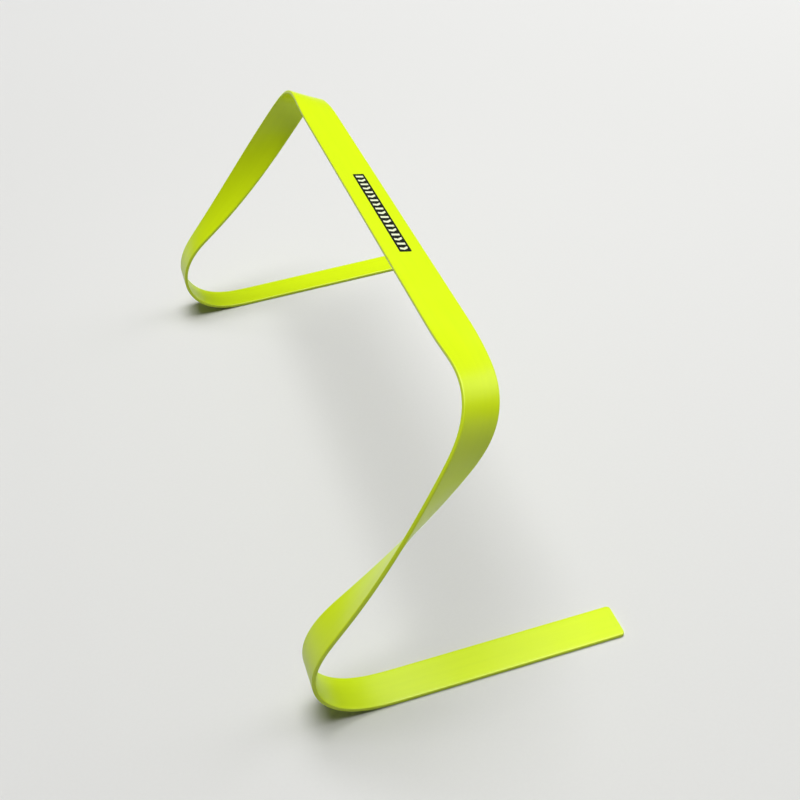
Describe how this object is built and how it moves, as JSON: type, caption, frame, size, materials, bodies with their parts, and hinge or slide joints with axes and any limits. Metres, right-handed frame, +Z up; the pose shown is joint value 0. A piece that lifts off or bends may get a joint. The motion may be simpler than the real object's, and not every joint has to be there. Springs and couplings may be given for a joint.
{
  "type": "agility hurdle",
  "caption": "Low training hurdle bent from one flat plastic strip: level crossbar, twisted legs, springy U-shaped heels and flat feet. The arch folds forward at the heels and springs back.",
  "frame": {"origin": "on the ground, under the middle of the hurdle's bounding box", "axes": "+X the way the toes point, +Y along the crossbar towards the left foot, +Z up"},
  "size_m": [0.2322, 0.5952, 0.2348],
  "materials": {
    "neon_pvc": "satin neon-yellow PVC strip, heat-bent",
    "print_ink": "thin matt black screen print"
  },
  "bodies": {
    "feet": {"right_foot": "neon_pvc", "left_foot": "neon_pvc", "right_heel_bend": "neon_pvc", "left_heel_bend": "neon_pvc"},
    "arch": {"crossbar": "neon_pvc", "bar_print": "print_ink", "right_top_bend": "neon_pvc", "left_top_bend": "neon_pvc", "right_leg": "neon_pvc", "left_leg": "neon_pvc"}
  },
  "joints": [
    {"name": "heel_fold", "type": "hinge", "parent": "feet", "child": "arch", "pos_m": [-0.1023, 0, 0.0325], "axis": [0, 1, 0], "range_deg": [-12, 42], "stiffness_Nm_per_rad": 3, "springref_deg": -1.95, "deforming": ["right_heel_bend", "left_heel_bend"]}
  ]
}
